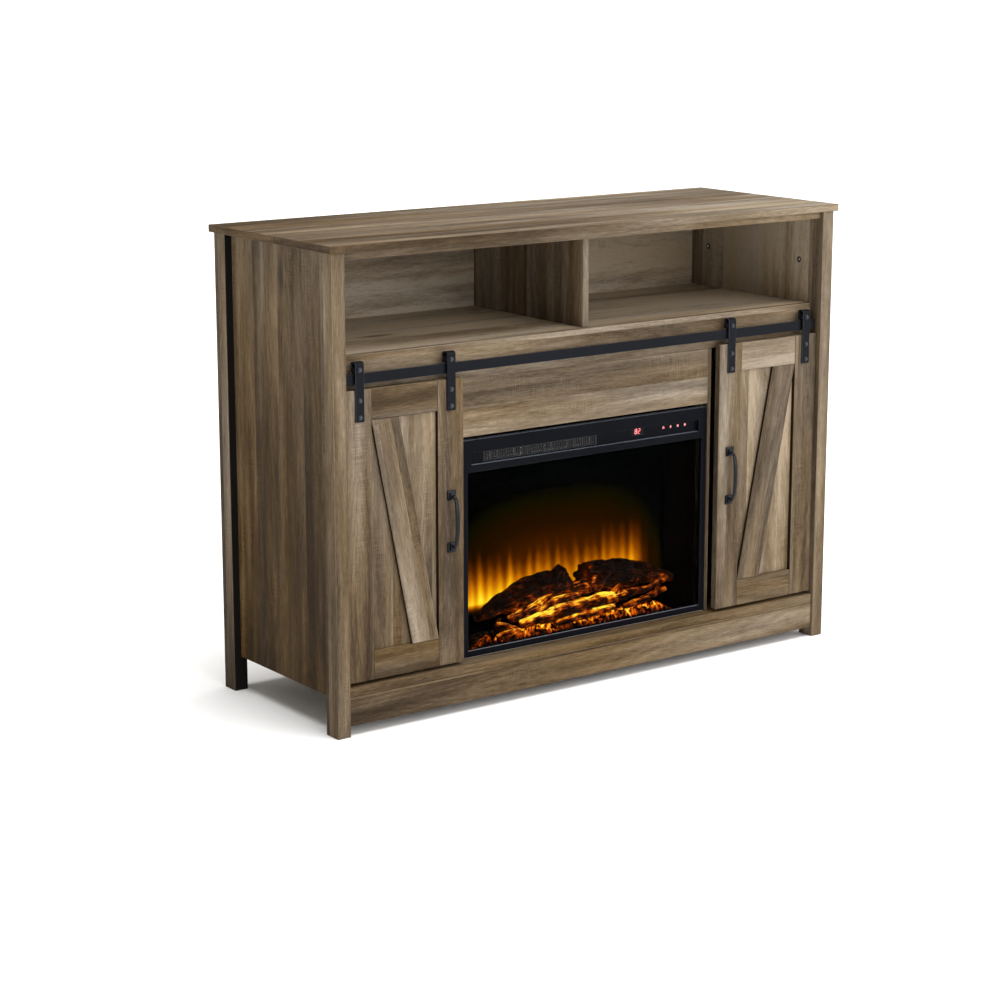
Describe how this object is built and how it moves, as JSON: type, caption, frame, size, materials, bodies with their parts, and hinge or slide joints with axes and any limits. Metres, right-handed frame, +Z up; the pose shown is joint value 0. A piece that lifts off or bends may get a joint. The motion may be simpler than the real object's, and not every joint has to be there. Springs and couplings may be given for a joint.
{
  "type": "electric fireplace console",
  "caption": "Media console in weathered oak laminate with an electric fireplace insert, open upper bays and barn doors that slide on a black rail.",
  "frame": {"origin": "bottom centre of the whole object's box, on the floor; the depth is taken from the handles' fronts to the top panel's back edge", "axes": "+X to the viewer's right along the front, +Y to the back, +Z up; the fireplace faces -Y"},
  "size_m": [1.2954, 0.4654, 0.9652],
  "materials": {
    "rustic_oak": "weathered grey-brown oak laminate, matt",
    "back_board": "oak-printed hardboard, matt",
    "black_iron": "black powder coat, satin",
    "roller_nylon": "satin",
    "black_nylon": "satin",
    "bezel_black": "fine black powder coat, satin",
    "smoked_glass": "polished",
    "circuit_board": "solder resist, satin",
    "key_plastic": "gloss, lit icons",
    "black_sheet_steel": "high-temperature black paint, matt",
    "flame_screen": "frosted, lit from behind",
    "ember_resin": "translucent moulded embers, lit from below",
    "log_resin": "cast resin, painted as charred bark",
    "motor_steel": "zinc plated",
    "element_ceramic": "matt",
    "rotor_foil": "bright foil"
  },
  "bodies": {
    "cabinet": {"top_panel": "rustic_oak", "sub_top_panel": "rustic_oak", "bottom_panel": "rustic_oak", "front_apron": "rustic_oak", "rail_board": "rustic_oak", "media_shelf": "rustic_oak", "media_divider": "rustic_oak", "fascia_panel": "rustic_oak", "front_left_post": "rustic_oak", "rear_left_post": "rustic_oak", "left_side_panel": "rustic_oak", "left_partition": "rustic_oak", "front_right_post": "rustic_oak", "rear_right_post": "rustic_oak", "right_side_panel": "rustic_oak", "right_partition": "rustic_oak", "media_back_panel": "back_board", "left_back_panel": "back_board", "right_back_panel": "back_board", "track_bar": "black_iron", "insert_bezel": "bezel_black", "insert_glass": "smoked_glass", "outlet_grille": "bezel_black", "control_board": "circuit_board", "insert_housing": "black_sheet_steel", "flame_screen": "flame_screen", "ember_bed": "ember_resin", "log_set": "log_resin", "rotor_motor": "motor_steel", "blower_motor": "motor_steel", "heating_element": "element_ceramic", "cord_gland": "black_nylon"},
    "left_door": {"left_door_inner_stile": "rustic_oak", "left_door_outer_stile": "rustic_oak", "left_door_bottom_rail": "rustic_oak", "left_door_top_rail": "rustic_oak", "left_door_panel": "rustic_oak", "left_door_brace": "rustic_oak", "left_door_handle": "black_iron", "left_outer_hanger": "black_iron", "left_inner_hanger": "black_iron"},
    "right_door": {"right_door_inner_stile": "rustic_oak", "right_door_outer_stile": "rustic_oak", "right_door_bottom_rail": "rustic_oak", "right_door_top_rail": "rustic_oak", "right_door_panel": "rustic_oak", "right_door_brace": "rustic_oak", "right_door_handle": "black_iron", "right_outer_hanger": "black_iron", "right_inner_hanger": "black_iron"},
    "left_outer_roller": {"left_outer_roller": "roller_nylon"},
    "left_inner_roller": {"left_inner_roller": "roller_nylon"},
    "right_outer_roller": {"right_outer_roller": "roller_nylon"},
    "right_inner_roller": {"right_inner_roller": "roller_nylon"},
    "flame_rotor": {"flame_rotor": "rotor_foil"},
    "blower_wheel": {"blower_wheel": "black_sheet_steel"},
    "power_key": {"power_key": "key_plastic"},
    "flame_key": {"flame_key": "key_plastic"},
    "heat_key": {"heat_key": "key_plastic"},
    "timer_key": {"timer_key": "key_plastic"}
  },
  "joints": [
    {"name": "left_door_slide", "type": "slide", "parent": "cabinet", "child": "left_door", "axis": [1, 0, 0], "range_m": [0, 0.331]},
    {"name": "right_door_slide", "type": "slide", "parent": "cabinet", "child": "right_door", "axis": [1, 0, 0], "range_m": [-0.331, 0]},
    {"name": "left_outer_roller_spin", "type": "hinge", "parent": "left_door", "child": "left_outer_roller", "pos_m": [-0.576, -0.2015, 0.7235], "axis": [0, 1, 0], "continuous": true},
    {"name": "left_inner_roller_spin", "type": "hinge", "parent": "left_door", "child": "left_inner_roller", "pos_m": [-0.3635, -0.2015, 0.7235], "axis": [0, 1, 0], "continuous": true},
    {"name": "right_outer_roller_spin", "type": "hinge", "parent": "right_door", "child": "right_outer_roller", "pos_m": [0.576, -0.2015, 0.7235], "axis": [0, 1, 0], "continuous": true},
    {"name": "right_inner_roller_spin", "type": "hinge", "parent": "right_door", "child": "right_inner_roller", "pos_m": [0.3635, -0.2015, 0.7235], "axis": [0, 1, 0], "continuous": true},
    {"name": "flame_rotor_spin", "type": "hinge", "parent": "cabinet", "child": "flame_rotor", "pos_m": [0, -0.0379, 0.14], "axis": [1, 0, 0], "continuous": true},
    {"name": "blower_spin", "type": "hinge", "parent": "cabinet", "child": "blower_wheel", "pos_m": [-0.1215, -0.1059, 0.514], "axis": [1, 0, 0], "continuous": true},
    {"name": "power_key_press", "type": "slide", "parent": "cabinet", "child": "power_key", "axis": [0, 1, 0], "range_m": [0, 0.001], "stiffness_N_per_m": 400},
    {"name": "flame_key_press", "type": "slide", "parent": "cabinet", "child": "flame_key", "axis": [0, 1, 0], "range_m": [0, 0.001], "stiffness_N_per_m": 400},
    {"name": "heat_key_press", "type": "slide", "parent": "cabinet", "child": "heat_key", "axis": [0, 1, 0], "range_m": [0, 0.001], "stiffness_N_per_m": 400},
    {"name": "timer_key_press", "type": "slide", "parent": "cabinet", "child": "timer_key", "axis": [0, 1, 0], "range_m": [0, 0.001], "stiffness_N_per_m": 400}
  ],
  "couplings": [
    {"joint": "left_outer_roller_spin", "follows": "left_door_slide", "rad_per_m": 125},
    {"joint": "left_inner_roller_spin", "follows": "left_door_slide", "rad_per_m": 125},
    {"joint": "right_outer_roller_spin", "follows": "right_door_slide", "rad_per_m": 125},
    {"joint": "right_inner_roller_spin", "follows": "right_door_slide", "rad_per_m": 125}
  ]
}
